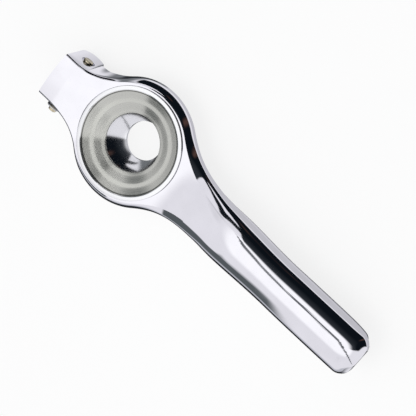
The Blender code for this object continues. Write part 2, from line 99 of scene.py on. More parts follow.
# Sections of the upper arm
RING_ROUND = 0.0037
HOOD_ROUND = 0.0010
HOOD_SHOULDER = 0.0027
HANDLE_ROUND = 0.0056
ROUND_START = math.radians(26)
ROUND_PULL = (0.68, 0.42)
PLATE_CROWN = 0.0002
HANDLE_CROWN = 0.0013
WALL = 0.0023
MOST_ROUND = 0.72
FOOT_CHAMFER = 0.0005
HOLLOW_BOTTOM = -0.006
HANDLE_TOP_EXTRA = 0.0006
HOLLOW_EDGE_SHARE = 0.6
HOLLOW_ROUND_SHARE = 0.8
PLATE_START = -0.0420
HOLLOW_START = [-0.0600, -0.0440]

# Hinge
PIN_X = -0.0484
PIN_Z = 0.0143
PIN_R = 0.00225
PIN_OUT_Y = -0.0197
PIN_HEAD_R = 0.0028
PIN_HEAD_DEPTH = 0.0014
POCKET_R = 0.0039
POCKET_DEPTH = 0.0022
EAR_FRONT_X = -0.0425
EAR_BOTTOM = 0.0015
EAR_HALF = 0.0070
EAR_RISE_RUN = (-0.0425, -0.0350)
EAR_WALL = 0.0038
EAR_WALL_RUN = (0.038, 0.042)
CLIP_R = 0.0042
CLIP_THICKNESS = 0.0007
BUSH_R = 0.0038
BUSH_FLANGE_R = 0.0058
BUSH_FLANGE = 0.0012
BOSS_R = 0.0069
TONGUE_HALF = 0.0101
EAR_SWING_R = 0.0147
TONGUE_FLARE = 2.0

# Fits
GAP = 0.0003
ARM_CLEARANCE = 0.0008

# Press dish and cup
DISH_BORE_R = 0.0289
DISH_FLANGE_R = 0.03075
DISH_FLANGE_T = 0.0008
DISH_RIM_R = 0.02835
DISH_OPENING_R = 0.0157
DISH_RING_OUT_R = 0.0300
DISH_GROOVE = 0.0006
DISH_GROOVE_DEPTHS = (0.0040, 0.0049)
DISH_RING_DEPTHS = (0.0042, 0.0047)
CUP_SPHERE_R = 0.0270
CUP_SPHERE_UP = 0.0037
CUP_WALL = 0.0015
CUP_FLANGE_Z = 0.0156
CUP_FLANGE_R = 0.0292
CUP_FLANGE_T = 0.0011
CUP_FOOT_R = 0.0135
DRAIN_R = 0.0108
CUP_BORE_R = 0.0262
EDGE_R = 0.0003
DISH_EDGE_R = 0.00035
RING_EDGE_R = 0.0001
PIN_EDGE_R = 0.0005
CLIP_EDGE_R = 0.00015
DISH_UNDERSIDE = [(0.0255, 0.0058), (0.0200, 0.0064)]
DISH_ROLLED_EDGE = [(0.0008, 0.0066), (0.0, 0.0060), (0.0003, 0.0053), (0.0014, 0.0049)]
DISH_STEPS = [
    (0.0180, 0.0046), (0.0200, 0.0036), (0.0214, 0.0029), (0.0220, 0.0027),
    (0.0238, 0.0025), (0.0244, 0.0023), (0.0274, 0.0009), (0.02785, 0.0006),
]

# Lower arm
LOWER_INSET = WALL + ARM_CLEARANCE
LOWER_RING_TOP = 0.0142
LOWER_RING_BOTTOM = 0.0088
LOWER_HANDLE_TOP = 0.0190
LOWER_HANDLE_BOTTOM = 0.0020
LOWER_END = HANDLE_END - 0.0035
LOWER_ROUND = 0.0042
LOWER_WALL = 0.0021
LOWER_CROWN = 0.0003
LOWER_RING_ROUND = 0.0010
LOWER_CORNER_R = 0.0050
LOWER_HOLLOW_R = 0.0040
LOWER_HOLLOW_ROUND = 0.0020
LOWER_FLOOR_EXTRA = 0.0075
LOWER_END_RISE = 0.0075
NECK_RAISE = 0.0022
LOWER_TOP_RUN = (0.036, 0.080)
LOWER_BOTTOM_RUN = (0.034, 0.085)
LOWER_BELLY_RUN = (0.090, 0.150)
LOWER_ROUND_RUN = (0.040, 0.085)
LOWER_HOLLOW_RUN = (0.048, 0.062)
NECK_RAISE_RUN = (0.030, 0.040)
TONGUE_RUN = (0.029, 0.040)
LOWER_FALL_RUN = 0.016
LOWER_HOLLOW_START = 0.046
LOWER_MOST_ROUND = 0.4
BOSS_START = 0.999
RIM_CHAMFER = 0.0004
CUTTER_REACH = 0.030

# Mesh fineness
ROUND_STEPS = 14
TOP_STEPS = 12
WALL_STEPS = 5
STATION_STEP = 0.0008
HOLLOW_STEP = 0.0020
EAR_STEPS = 40
BOSS_STEPS = (24, 16)
CUP_STEPS = (24, 48)
EDGE_STEPS = 4
TURN_STEPS = 160
PIN_STEPS = 64
SHARP_ANGLE = math.radians(19)
MERGE_DISTANCE = 0.00001
LEAST_STATION = 0.0001
LOWER_LEAST_STATION = 0.0005
STEP_RUN = 0.00005
MOST_EDGE_SHARE = 0.45

# Crowded stations at rounded ends: how far they run, and how many
UPPER_END_STATIONS = (0.0135, 24)
UPPER_HOLLOW_END_STATIONS = (0.009, 8)
LOWER_END_STATIONS = (0.0155, 24)
LOWER_HOLLOW_END_STATIONS = (0.010, 8)

# Keeping the skin's shading: distance, and least cosines between the normals compared
SKIN_REACH = 0.00004
SKIN_ALIKE = 0.9
SHADE_ALIKE = 0.8
SHADE_LEAST = 0.5
NUDGE_INWARDS = 0.03

# Camera: seen from above the bowl, leaning towards the handle's far side, and rolled
FRAME_WIDTH = 0.2205
CAMERA_DISTANCE = 0.90
SENSOR = 36.0
CAMERA_TURN = math.radians(57.0)
CAMERA_LEAN = math.radians(22.8)
CAMERA_ROLL = math.radians(15.4)
CAMERA_CLIP = (0.05, 20.0)
AIM_RIGHT = 0.0423
AIM_UP = -0.0342


# Shape functions ------------------------------------------------------------

def ease(value):
    """0 below 0, 1 above 1, and a smooth S between them."""
    t = min(max(value, 0.0), 1.0)
    return t * t * (3.0 - 2.0 * t)


def blend(x, start, end):
    return ease((x - start) / (end - start))


def neck_centre(flank, neck_r):
    """Distance along X of the neck arc's centre, tangent to the flank and to the ring."""
    return math.sqrt((RING_R + neck_r) ** 2 - (flank + neck_r) ** 2)


def swell(x):
    """How much wider the handle starts, where it leaves the ring."""
    return HANDLE_SWELL * blend(x, *SWELL_RUN) * (1 - blend(x, *SWELL_END_RUN))


def half_width(x, inset=0.0):
    """Half of the outline's width at x, moved inwards by the inset."""
    side = HOOD_HALF if x < 0 else HANDLE_HALF
    neck_r = HINGE_NECK_R if x < 0 else HANDLE_NECK_R
    reach = abs(x)
    centre = neck_centre(side, neck_r)
    tangent = centre * RING_R / (RING_R + neck_r)
    if reach <= tangent * (1 - inset / RING_R):
        return math.sqrt((RING_R - inset) ** 2 - x * x)
    if reach < centre:
        return side + neck_r - math.sqrt((neck_r + inset) ** 2 - (centre - reach) ** 2) + swell(x)
    return side + HANDLE_WIDENING * blend(x, centre, centre + WIDENING_RUN) + swell(x) - inset


def corner(x, end, radius, half):
    """Half width at a rounded end, where the corner arc takes off up to the radius."""
    into = x - (end - radius)
    if into <= 0:
        return half
    return half - radius + math.sqrt(max(radius ** 2 - into ** 2, 0.0))


def edge_height(x):
    """Height of the line where the rounded top meets the side wall."""
    hinge = (HOOD_EDGE_Z - RING_EDGE_Z) * blend(-x, *HOOD_EDGE_RUN)
    handle = (HANDLE_EDGE_Z - RING_EDGE_Z) * blend(x, *HANDLE_EDGE_RUN)
    return RING_EDGE_Z + hinge + handle - TAIL_DROOP * blend(x, *TAIL_EDGE_RUN)


def top_height(x):
    hinge = (HOOD_TOP_Z - RING_TOP_Z) * blend(-x, *HOOD_TOP_RUN)
    handle = (HANDLE_TOP_Z - RING_TOP_Z) * blend(x, *HANDLE_TOP_RUN)
    return RING_TOP_Z + hinge + handle - TAIL_DROOP * blend(x, *TAIL_TOP_RUN)


def top_rounding(x, half):
    rounding = RING_ROUND + (HANDLE_ROUND - RING_ROUND) * blend(x, *HANDLE_ROUND_RUN)
    rounding += (HOOD_ROUND - RING_ROUND) * blend(-x, *HOOD_SHOULDER_RUN)
    return min(rounding, half * MOST_ROUND)


def shoulder(x):
    """How far the hood's side wall leans in from its foot to the edge of its flat top."""
    return HOOD_SHOULDER * blend(-x, *HOOD_SHOULDER_RUN)


def crown_height(x):
    return PLATE_CROWN + (HANDLE_CROWN - PLATE_CROWN) * blend(x, *HANDLE_CROWN_RUN)


def tail_fall(x, end, length):
    """1 along the handle, falling on a quarter ellipse to 0 at its end."""
    into = x - (end - length)
    if into <= 0:
        return 1.0
    return math.sqrt(max(1.0 - (into / length) ** 2, 0.0))


def ear_bottom(x):
    across = min(abs(x - EAR_FRONT_X + EAR_HALF) / EAR_HALF, 1.0)
    return EAR_BOTTOM + EAR_HALF * (1 - math.sqrt(1 - across ** 2))


def wall_bottom(x):
    if x <= EAR_FRONT_X:
        return ear_bottom(x)
    foot = RING_WALL_Z + (HANDLE_WALL_Z - RING_WALL_Z) * blend(x, *HANDLE_EDGE_RUN)
    foot -= TAIL_DROOP * blend(x, *TAIL_EDGE_RUN)
    foot += END_WALL_RISE * blend(x, HANDLE_END - END_WALL_RUN, HANDLE_END)
    along = blend(x, *HOOD_WALL_RUN)
    hood = EAR_BOTTOM + EAR_HALF
    hood += (HOOD_WALL_BOTTOM - hood) * blend(x, *EAR_RISE_RUN)
    return hood * (1 - along) + foot * along


def rounded_edge(inner, outer, top, edge):
    """Cubic curve from (inner, top), where it starts to slope, to (outer, edge), upright."""
    first, last = ROUND_PULL[0] * (outer - inner), ROUND_PULL[1] * (edge - top)
    ys = (inner, inner + first * math.cos(ROUND_START), outer, outer)
    fall = math.copysign(first * math.sin(ROUND_START), top - edge)
    zs = (top, top - fall, edge - last, edge)
    points = []
    for step in range(ROUND_STEPS + 1):
        t = step / ROUND_STEPS
        shares = ((1 - t) ** 3, 3 * t * (1 - t) ** 2, 3 * t * t * (1 - t), t ** 3)
        points.append(tuple(sum(s * v for s, v in zip(shares, vs)) for vs in (ys, zs)))
    return points


def arch(half, top, edge, bottom, rounding, foot, crown, lean=0.0):
    """Half section from the crown round to the foot: (y, z) pairs."""
    flat = half - lean - rounding
    points = []
    for step in range(TOP_STEPS):
        across = step / TOP_STEPS
        points.append((flat * across, top + crown * (1 - across ** 2)))
    points += rounded_edge(flat, half - lean, top, edge)
    for step in range(1, WALL_STEPS + 1):
        share = step / WALL_STEPS
        points.append((half - lean * (1 - share), edge + (bottom + foot - edge) * share))
    points.append((half - abs(foot), bottom))
    return points


# Mesh building --------------------------------------------------------------

def stations(start, end, step=STATION_STEP):
    """Even stations from start to end."""
    count = max(int(round((end - start) / step)), 1)
    return [start + (end - start) * i / count for i in range(count + 1)]


def end_stations(end, run):
    """Stations that crowd towards a rounded end."""
    length, count = run
    return [end - length * (1 - math.sin(math.pi / 2 * i / count)) for i in range(1, count + 1)]


def cap(shape, ring):
    """Closes an end with a ladder of faces, each joining points at +Y and -Y."""
    count = len(ring)
    shape.faces.new((ring[0], ring[1], ring[-1]))
    for i in range(1, count // 2):
        shape.faces.new((ring[i], ring[i + 1], ring[count - i - 1], ring[count - i]))


def new_object(name, mesh):
    made = bpy.data.objects.new(name, mesh)
    bpy.context.scene.collection.objects.link(made)
    made.location.x = BOWL_X
    return made


def loft(name, xs, section, shear=lambda x, y: 0.0):
    """A closed solid through half sections at the stations, mirrored about Y = 0."""
    shape = bmesh.new()
    rings = []
    for x in xs:
        half = section(x)
        loop = half + [(-y, z) for y, z in reversed(half[1:])]
        rings.append([shape.verts.new((x + shear(x, y), y, z)) for y, z in loop])
    count = len(rings[0])
    for first, second in zip(rings, rings[1:]):
        for i in range(count):
            j = (i + 1) % count
            shape.faces.new((first[i], first[j], second[j], second[i]))
    cap(shape, rings[0])
    cap(shape, rings[-1])
    bmesh.ops.recalc_face_normals(shape, faces=shape.faces)
    mesh = bpy.data.meshes.new(name)
    shape.to_mesh(mesh)
    shape.free()
    mesh.shade_smooth()
    return new_object(name, mesh)


def turned(name, profile, steps=TURN_STEPS, along_pin=False):
    """A turned solid from a closed profile of (radius, height) pairs.

    Heights become distances along Y from the middle of the pin when along_pin is set.
    """
    mesh = bpy.data.meshes.new(name)
    edges = [(i, i + 1) for i in range(len(profile) - 1)]
    if profile[0][0] > 0:
        edges.append((len(profile) - 1, 0))
    mesh.from_pydata([(r, 0.0, h) for r, h in profile], edges, [])
    made = new_object(name, mesh)
    screw = made.modifiers.new("turn", "SCREW")
    screw.steps = screw.render_steps = steps
    screw.merge_threshold = MERGE_DISTANCE
    screw.use_merge_vertices = True
    screw.use_normal_calculate = False
    if along_pin:
        made.location = (BOWL_X + PIN_X, 0.0, PIN_Z)
        made.rotation_euler = (math.radians(-90), 0.0, 0.0)
    settle(made)
    return made


def settle(item):
    """Applies the modifiers, with faces pointing out. The origin stays on the piece's own axis."""
    bpy.context.view_layer.update()
    graph = bpy.context.evaluated_depsgraph_get()
    mesh = bpy.data.meshes.new_from_object(item.evaluated_get(graph))
    item.modifiers.clear()
    item.data = mesh
    shape = bmesh.new()
    shape.from_mesh(mesh)
    bmesh.ops.remove_doubles(shape, verts=shape.verts, dist=MERGE_DISTANCE / 10)
    bmesh.ops.recalc_face_normals(shape, faces=shape.faces)
    shape.to_mesh(mesh)
    shape.free()
    mesh.shade_smooth()
    mesh.set_sharp_from_angle(angle=SHARP_ANGLE)


def cut(target, *cutters):
    """Takes the cutters away from the target and removes them."""
    for cutter in cutters:
        step = target.modifiers.new("cut", "BOOLEAN")
        step.operation = "DIFFERENCE"
        step.solver = "EXACT"
        step.object = cutter
    settle(target)
    for cutter in cutters:
        bpy.data.objects.remove(cutter)


def skin_of(item):
    """Positions, faces and smooth corner normals of a surface before it is cut."""
    mesh = item.data
    mesh.set_sharp_from_angle(angle=SHARP_ANGLE)
    points = [v.co.copy() for v in mesh.vertices]
    faces = [tuple(p.vertices) for p in mesh.polygons]
    corners = [[mesh.corner_normals[i].vector.copy() for i in p.loop_indices] for p in mesh.polygons]
    return points, faces, corners


def keep_skin(item, skin):
    """Shades what is left of the skin with the skin's own normals, so that cuts leave no ripples."""
    points, faces, corners = skin
    tree = BVHTree.FromPolygons(points, faces)
    mesh = item.data
    normals = [corner.vector.copy() for corner in mesh.corner_normals]
    for face in mesh.polygons:
        _, normal, index, distance = tree.find_nearest(face.center)
        if distance > SKIN_REACH or normal.dot(face.normal) < SKIN_ALIKE:
            continue
        for loop in face.loop_indices:
            here = mesh.vertices[mesh.loops[loop].vertex_index].co
            spot, normal, index, distance = tree.find_nearest(here.lerp(face.center, NUDGE_INWARDS))
            ring = [points[i] for i in faces[index]]
            shares = poly_3d_calc(ring, spot)
            shaded = sum((n * w for n, w in zip(corners[index], shares)), Vector())
            if shaded.length > SHADE_LEAST and shaded.normalized().dot(face.normal) > SHADE_ALIKE:
                normals[loop] = shaded.normalized()
    mesh.normals_split_custom_set(normals)


def smooth_profile(points, radius):
    """Rounds each corner of an open profile with a small arc-like curve."""
    vectors = [Vector(p) for p in points]
    out = [points[0]]
    for before, here, after in zip(vectors, vectors[1:], vectors[2:]):
        shorter = min((here - before).length, (after - here).length)
        reach = min(radius, shorter * MOST_EDGE_SHARE)
        start = here + (before - here).normalized() * reach
        end = here + (after - here).normalized() * reach
        for step in range(EDGE_STEPS + 1):
            t = step / EDGE_STEPS
            out.append(tuple(start * (1 - t) ** 2 + here * (2 * t * (1 - t)) + end * t ** 2))
    out.append(points[-1])
    return out


# Pieces ---------------------------------------------------------------------

def arm_shear(x, y):
    """Bows the hinge end and the handle end outwards in plan."""
    hinge = -HINGE_END_BULGE * (1 - (y / HOOD_HALF) ** 2) * blend(-x, *HINGE_BULGE_RUN)
    across = min(abs(y) / HANDLE_HALF, 1.0)
    handle = -HANDLE_END_BULGE * across ** 2 * blend(x, HANDLE_END - END_BULGE_RUN, HANDLE_END)
    return hinge + handle


def upper_outside(x):
    half = corner(x, HANDLE_END, HANDLE_CORNER_R, half_width(x))
    fall = tail_fall(x, HANDLE_END, END_FALL_RUN)
    edge = edge_height(x)
    top = edge + (top_height(x) - edge) * (END_TOP_LEFT + (1 - END_TOP_LEFT) * fall)
    rounding = top_rounding(x, half)
    bottom = wall_bottom(x)
    return arch(half, top, edge, bottom, rounding, FOOT_CHAMFER, crown_height(x), shoulder(x))


def upper_inside(x):
    wall = WALL + (EAR_WALL - WALL) * blend(-x, *EAR_WALL_RUN)
    half = corner(x, HANDLE_END - WALL, HANDLE_CORNER_R - WALL, half_width(x, wall))
    top = top_height(x) - WALL - HANDLE_TOP_EXTRA * blend(x, *HANDLE_TOP_RUN)
    edge = edge_height(x) - WALL * HOLLOW_EDGE_SHARE
    rounding = top_rounding(x, half) * HOLLOW_ROUND_SHARE
    return arch(half, top, edge, HOLLOW_BOTTOM, rounding, FOOT_CHAMFER, crown_height(x))


def make_upper_arm():
    angles = [math.pi * i / EAR_STEPS for i in range(1, EAR_STEPS)]
    ear_steps = [EAR_FRONT_X - EAR_HALF * (1 - math.cos(a)) for a in angles]
    xs = [HINGE_END] + [x for x in sorted(ear_steps) if x > HINGE_END + LEAST_STATION]
    xs += [EAR_FRONT_X, EAR_FRONT_X + STEP_RUN]
    xs += stations(PLATE_START, HANDLE_END - UPPER_END_STATIONS[0] - LEAST_STATION)
    xs += end_stations(HANDLE_END, UPPER_END_STATIONS)
    arm = loft("upper_arm_shell", xs, upper_outside, arm_shear)
    end = HANDLE_END - WALL
    straight_end = end - UPPER_HOLLOW_END_STATIONS[0] - LEAST_STATION
    inner = HOLLOW_START + stations(EAR_FRONT_X, straight_end, HOLLOW_STEP)
    inner += end_stations(end, UPPER_HOLLOW_END_STATIONS)
    hollow = loft("upper_hollow", inner, upper_inside)
    seat_r, seat_z = DISH_FLANGE_R + GAP, LIP_Z - DISH_FLANGE_T - GAP
    above, below = LIP_Z + CUTTER_REACH / 2, LIP_Z - CUTTER_REACH / 2
    hole = [(0.0, above), (seat_r, above), (seat_r, seat_z)]
    hole += [(DISH_BORE_R, seat_z), (DISH_BORE_R, below), (0.0, below)]
    dish_bore = turned("dish_bore", hole)
    pocket_floor = HOOD_HALF - POCKET_DEPTH
    hole = [(0.0, CUTTER_REACH), (POCKET_R, CUTTER_REACH), (POCKET_R, pocket_floor)]
    hole += [(PIN_R + GAP, pocket_floor), (PIN_R + GAP, -CUTTER_REACH), (0.0, -CUTTER_REACH)]
    ear_bore = turned("ear_bore", hole, PIN_STEPS, True)
    skin = skin_of(arm)
    cut(arm, hollow, dish_bore, ear_bore)
    keep_skin(arm, skin)
    return arm


def boss_half_height(x):
    return math.sqrt(max(BOSS_R ** 2 - (x - PIN_X) ** 2, 0.0))


def lower_top(x):
    boss = PIN_Z + boss_half_height(x)
    if x < PIN_X:
        return boss
    handle = (LOWER_HANDLE_TOP - LOWER_RING_TOP) * blend(x, *LOWER_TOP_RUN)
    neck = NECK_RAISE * blend(-x, *NECK_RAISE_RUN)
    height = LOWER_RING_TOP + handle + neck - TAIL_DROOP * blend(x, *TAIL_EDGE_RUN)
    return max(height, boss) if x < PIN_X + BOSS_R else height


def lower_bottom(x):
    """Height of the underside's shoulders: along the belly its crown touches Z = 0."""
    boss = PIN_Z - boss_half_height(x)
    if x < PIN_X:
        return boss
    handle = (LOWER_HANDLE_BOTTOM - LOWER_RING_BOTTOM) * blend(x, *LOWER_BOTTOM_RUN)
    belly = (LOWER_CROWN - LOWER_HANDLE_BOTTOM) * blend(x, *LOWER_BELLY_RUN)
    rise = LOWER_END_RISE * (1 - tail_fall(x, LOWER_END, LOWER_FALL_RUN))
    height = LOWER_RING_BOTTOM + handle + belly + rise
    return min(height, boss) if x < PIN_X + BOSS_R else height


def lower_outside(x):
    """Half section with its rounding underneath: an arch turned upside down."""
    inset = LOWER_INSET + (HOOD_HALF - TONGUE_HALF - LOWER_INSET) * blend(-x, *TONGUE_RUN)
    half = corner(x, LOWER_END, LOWER_CORNER_R, half_width(x, inset))
    half = min(half, TONGUE_HALF + TONGUE_FLARE * max(x - PIN_X - EAR_SWING_R, 0.0))
    low, high = lower_bottom(x), lower_top(x)
    rounding = LOWER_RING_ROUND + (LOWER_ROUND - LOWER_RING_ROUND) * blend(x, *LOWER_ROUND_RUN)
    rounding = min(rounding, (high - low) * LOWER_MOST_ROUND, half * MOST_ROUND)
    return arch(half, low, low + rounding, high, rounding, -RIM_CHAMFER, -LOWER_CROWN)


def lower_inside(x):
    width = half_width(x, LOWER_INSET + LOWER_WALL)
    half = corner(x, LOWER_END - LOWER_WALL, LOWER_HOLLOW_R, width)
    low = lower_bottom(x) + LOWER_WALL + LOWER_FLOOR_EXTRA * (1 - blend(x, *LOWER_HOLLOW_RUN))
    edge = low + LOWER_HOLLOW_ROUND
    return arch(half, low, edge, CUTTER_REACH, LOWER_HOLLOW_ROUND, -RIM_CHAMFER, -LOWER_CROWN)


def make_lower_arm():
    round_steps, flat_steps = BOSS_STEPS
    angles = [math.pi / 2 * i / round_steps for i in range(1, round_steps + 1)]
    xs = [PIN_X - BOSS_R * BOSS_START] + [PIN_X - BOSS_R * math.cos(a) for a in angles]
    xs += [PIN_X + BOSS_R * i / flat_steps for i in range(1, flat_steps + 1)]
    straight_end = LOWER_END - LOWER_END_STATIONS[0] - LOWER_LEAST_STATION
    xs += stations(PIN_X + BOSS_R + STATION_STEP, straight_end)
    xs += end_stations(LOWER_END, LOWER_END_STATIONS)
    arm = loft("lower_arm_casting", xs, lower_outside)
    end = LOWER_END - LOWER_WALL
    straight_end = end - LOWER_HOLLOW_END_STATIONS[0] - LOWER_LEAST_STATION
    inner = stations(LOWER_HOLLOW_START, straight_end, HOLLOW_STEP)
    inner += end_stations(end, LOWER_HOLLOW_END_STATIONS)
    hollow = loft("lower_hollow", inner, lower_inside)
    reach = CUTTER_REACH
    bore = [(0.0, reach), (CUP_BORE_R, reach), (CUP_BORE_R, HOLLOW_BOTTOM), (0.0, HOLLOW_BOTTOM)]
    cup_bore = turned("cup_bore", bore)
    bore = [(0.0, reach), (BUSH_R + GAP, reach), (BUSH_R + GAP, -reach), (0.0, -reach)]
    skin = skin_of(arm)
    cut(arm, hollow, cup_bore, turned("tongue_bore", bore, PIN_STEPS, True))
    keep_skin(arm, skin)
    return arm


def make_press_dish():
    """Flange on the ring, a grooved outside, a rolled edge round the opening, and stepped walls."""
    outer_r = DISH_BORE_R - GAP
    groove_r = outer_r - DISH_GROOVE
    groove_top, groove_low = DISH_GROOVE_DEPTHS
    outside = [
        (DISH_RIM_R + RIM_CHAMFER, 0.0), (DISH_FLANGE_R, 0.0), (DISH_FLANGE_R, DISH_FLANGE_T),
        (outer_r, DISH_FLANGE_T), (outer_r, groove_top), (groove_r, groove_top),
        (groove_r, groove_low), (outer_r, groove_low), (outer_r, groove_low + DISH_GROOVE),
    ]
    outside += DISH_UNDERSIDE
    rolled = [(DISH_OPENING_R + out, depth) for out, depth in DISH_ROLLED_EDGE]
    inside_wall = DISH_STEPS + [(DISH_RIM_R, RIM_CHAMFER / 2)]
    profile = smooth_profile(outside + rolled + inside_wall, DISH_EDGE_R)
    return turned("press_dish_turned", [(r, LIP_Z - depth) for r, depth in profile])


def flat_ring(name, inner, outer, high, low, edge_r, *turning):
    """A flat ring with rounded edges. Its profile starts and ends in the middle of one side."""
    middle = (inner + outer) / 2
    corners = [(middle, high), (outer, high), (outer, low), (inner, low), (inner, high)]
    profile = smooth_profile(corners + [(middle - LEAST_STATION, high)], edge_r)
    return turned(name, profile, *turning)


def make_dish_ring():
    """A snap ring in the dish's groove, under the upper arm's ring."""
    high, low = [LIP_Z - depth for depth in DISH_RING_DEPTHS]
    inner = DISH_BORE_R - DISH_GROOVE
    return flat_ring("dish_snap_ring", inner, DISH_RING_OUT_R, high, low, RING_EDGE_R)


def sphere_arc(radius, centre, start, end, count):
    """Points of (radius, height) along a sphere, by the angle from straight down."""
    angles = [start + (end - start) * i / count for i in range(count + 1)]
    return [(radius * math.sin(a), centre - radius * math.cos(a)) for a in angles]


def make_juice_cup():
    """A spherical cup with a flange on the lower ring, a flat foot and one round drain hole."""
    outer_steps, inner_steps = CUP_STEPS
    centre = LIP_Z + CUP_SPHERE_UP
    flange_low = CUP_FLANGE_Z - CUP_FLANGE_T
    outer_r = CUP_SPHERE_R + CUP_WALL
    profile = [(CUP_FLANGE_R - EDGE_R, CUP_FLANGE_Z), (CUP_FLANGE_R, CUP_FLANGE_Z - EDGE_R)]
    profile += [(CUP_FLANGE_R, flange_low)]
    start = math.acos((centre - flange_low) / outer_r)
    profile += sphere_arc(outer_r, centre, start, math.asin(CUP_FOOT_R / outer_r), outer_steps)
    profile += [(CUP_FOOT_R - EDGE_R, 0.0), (DRAIN_R + RIM_CHAMFER, 0.0), (DRAIN_R, RIM_CHAMFER)]
    start = math.asin(DRAIN_R / CUP_SPHERE_R)
    rim = math.acos((centre - CUP_FLANGE_Z) / CUP_SPHERE_R)
    profile += sphere_arc(CUP_SPHERE_R, centre, start, rim, inner_steps)
    return turned("juice_cup_turned", profile)


def make_pin():
    """Shank with a head in the ear's pocket and an end that stands out on the other side."""
    head_top = HOOD_HALF - GAP
    head_low = head_top - PIN_HEAD_DEPTH
    corners = [
        (0.0, head_top), (PIN_HEAD_R, head_top), (PIN_HEAD_R, head_low), (PIN_R, head_low),
        (PIN_R, PIN_OUT_Y), (0.0, PIN_OUT_Y),
    ]
    return turned("hinge_pin_turned", smooth_profile(corners, PIN_EDGE_R), PIN_STEPS, True)


def make_clip():
    """A ring on the pin, beside the ear."""
    high = -half_width(PIN_X + CLIP_R) - GAP
    low = high - CLIP_THICKNESS
    return flat_ring("pin_clip_ring", PIN_R + GAP, CLIP_R, high, low, CLIP_EDGE_R, PIN_STEPS, True)


def make_bush(name, side):
    """Half of the tongue's lining: a sleeve, and a flange between the tongue and the ear."""
    inner = PIN_R + GAP
    flange_in = TONGUE_HALF + GAP
    flange_out = flange_in + BUSH_FLANGE
    corners = [
        (BUSH_FLANGE_R, flange_out), (BUSH_FLANGE_R, flange_in), (BUSH_R, flange_in),
        (BUSH_R, GAP), (inner, GAP), (inner, flange_out),
    ]
    corners = [(r, side * y) for r, y in corners]
    if side < 0:
        corners.reverse()
    return turned(name, corners, PIN_STEPS, True)


# Materials ------------------------------------------------------------------

# Chrome plate: noise scales, and the levels of noise between which a mark fades in
PATCH_SCALE = 45.0
PATCH_LEVELS = (0.45, 0.75)
RUB_SCALE = 180.0
RUB_STRETCH = (1.0, 22.0, 22.0)
RUB_LEVELS = (0.60, 0.72)
RUB_SHARE = 0.8
STAIN_SCALE = 90.0
STAIN_LEVELS = (0.3, 0.7)
STAIN_SHADE = 0.96
WAVE_SCALE = 60.0
PEEL_SCALE = 900.0
PEEL_SHARE = 0.04

# Turned steel: fine rings and wider bands, read along the radius and the height
RING_SCALE = 9000.0
RING_SHARE = 0.6
BAND_SCALE = 1400.0
BAND_SHARE = 0.4
HEIGHT_SHARE = 0.8
SHADE_LEVELS = (0.35, 0.65)
GLOSS_LEVELS = (0.3, 0.7)
GLOSS_SPREAD = 0.15
BRUSH_TURN = 0.25

# Polished lip, and a dark line of painted shade just inside it, standing in for the shade where the
# dish wall meets the rim
LIP_STEEL = (0.63, 0.63, 0.65)
LIP_ROUGHNESS = 0.10
LIP_FADE = 0.0001
GROOVE_SHADE_FROM = 0.0007
GROOVE_SHADE_TO = 0.0002
GROOVE_SHADE_FADE = 0.00015
GROOVE_SHADE_SHARE = 0.75
GROOVE_SHADE_COLOUR = (0.02, 0.02, 0.02)


class Nodes:
    """Short ways to add nodes to one node tree."""

    def __init__(self, tree):
        self.tree = tree

    def add(self, kind, inputs=(), **settings):
        """A node with its settings, and inputs linked to sockets or set to values."""
        node = self.tree.nodes.new(kind)
        for name, value in settings.items():
            setattr(node, name, value)
        for slot, value in dict(inputs).items():
            if isinstance(value, bpy.types.NodeSocket):
                self.tree.links.new(value, node.inputs[slot])
            else:
                node.inputs[slot].default_value = value
        return node

    def link(self, socket, node, slot):
        self.tree.links.new(socket, node.inputs[slot])

    def math(self, operation, first, second=0.0, third=0.0):
        values = {0: first, 1: second, 2: third}
        return self.add("ShaderNodeMath", values, operation=operation).outputs[0]

    def product(self, first, *others):
        for other in others:
            first = self.math("MULTIPLY", first, other)
        return first

    def between(self, value, low, high, out_low=0.0, out_high=1.0):
        """Smooth step of a value between two limits."""
        values = {"Value": value, "From Min": low, "From Max": high}
        values.update({"To Min": out_low, "To Max": out_high})
        return self.add("ShaderNodeMapRange", values, interpolation_type="SMOOTHSTEP").outputs[0]

    def inside(self, value, low, high, soft):
        """1 where the value lies between the limits, fading over the soft edge on each side."""
        rise = self.between(value, low - soft, low + soft)
        return self.math("MULTIPLY", rise, self.between(value, high - soft, high + soft, 1.0, 0.0))

    def mix(self, share, first, second):
        node = self.add("ShaderNodeMix", {0: share}, data_type="RGBA")
        for slot, value in ((6, first), (7, second)):
            if isinstance(value, bpy.types.NodeSocket):
                self.tree.links.new(value, node.inputs[slot])
            else:
                node.inputs[slot].default_value = (*value, 1.0)
        return node.outputs[2]

    def noise(self, vector, scale, detail=2.0, dimensions="3D"):
        slot = "W" if dimensions == "1D" else "Vector"
        values = {slot: vector, "Scale": scale, "Detail": detail}
        return self.add("ShaderNodeTexNoise", values, noise_dimensions=dimensions).outputs["Fac"]


def metal(name, colour, roughness, anisotropy=0.0):
    """A metallic material, with its node helper and its shader."""
    made = bpy.data.materials.new(name)
    made.use_nodes = True
    nodes = Nodes(made.node_tree)
    shader = made.node_tree.nodes["Principled BSDF"]
    shader.inputs["Metallic"].default_value = 1.0
    shader.inputs["Base Color"].default_value = (*colour, 1.0)
    shader.inputs["Roughness"].default_value = roughness
    shader.inputs["Anisotropic"].default_value = anisotropy
    return made, nodes, shader


def position(nodes, stretch=(1.0, 1.0, 1.0)):
    """Position on the piece, which stays with it when it moves."""
    spot = nodes.add("ShaderNodeTexCoord").outputs["Object"]
    return nodes.add("ShaderNodeMapping", {"Vector": spot, "Scale": stretch}).outputs[0]


def bump(nodes, shader, height, depth):
    """Relief of that depth in metres."""
    made = nodes.add("ShaderNodeBump", {"Height": height, "Strength": 1.0, "Distance": depth})
    nodes.link(made.outputs[0], shader, "Normal")


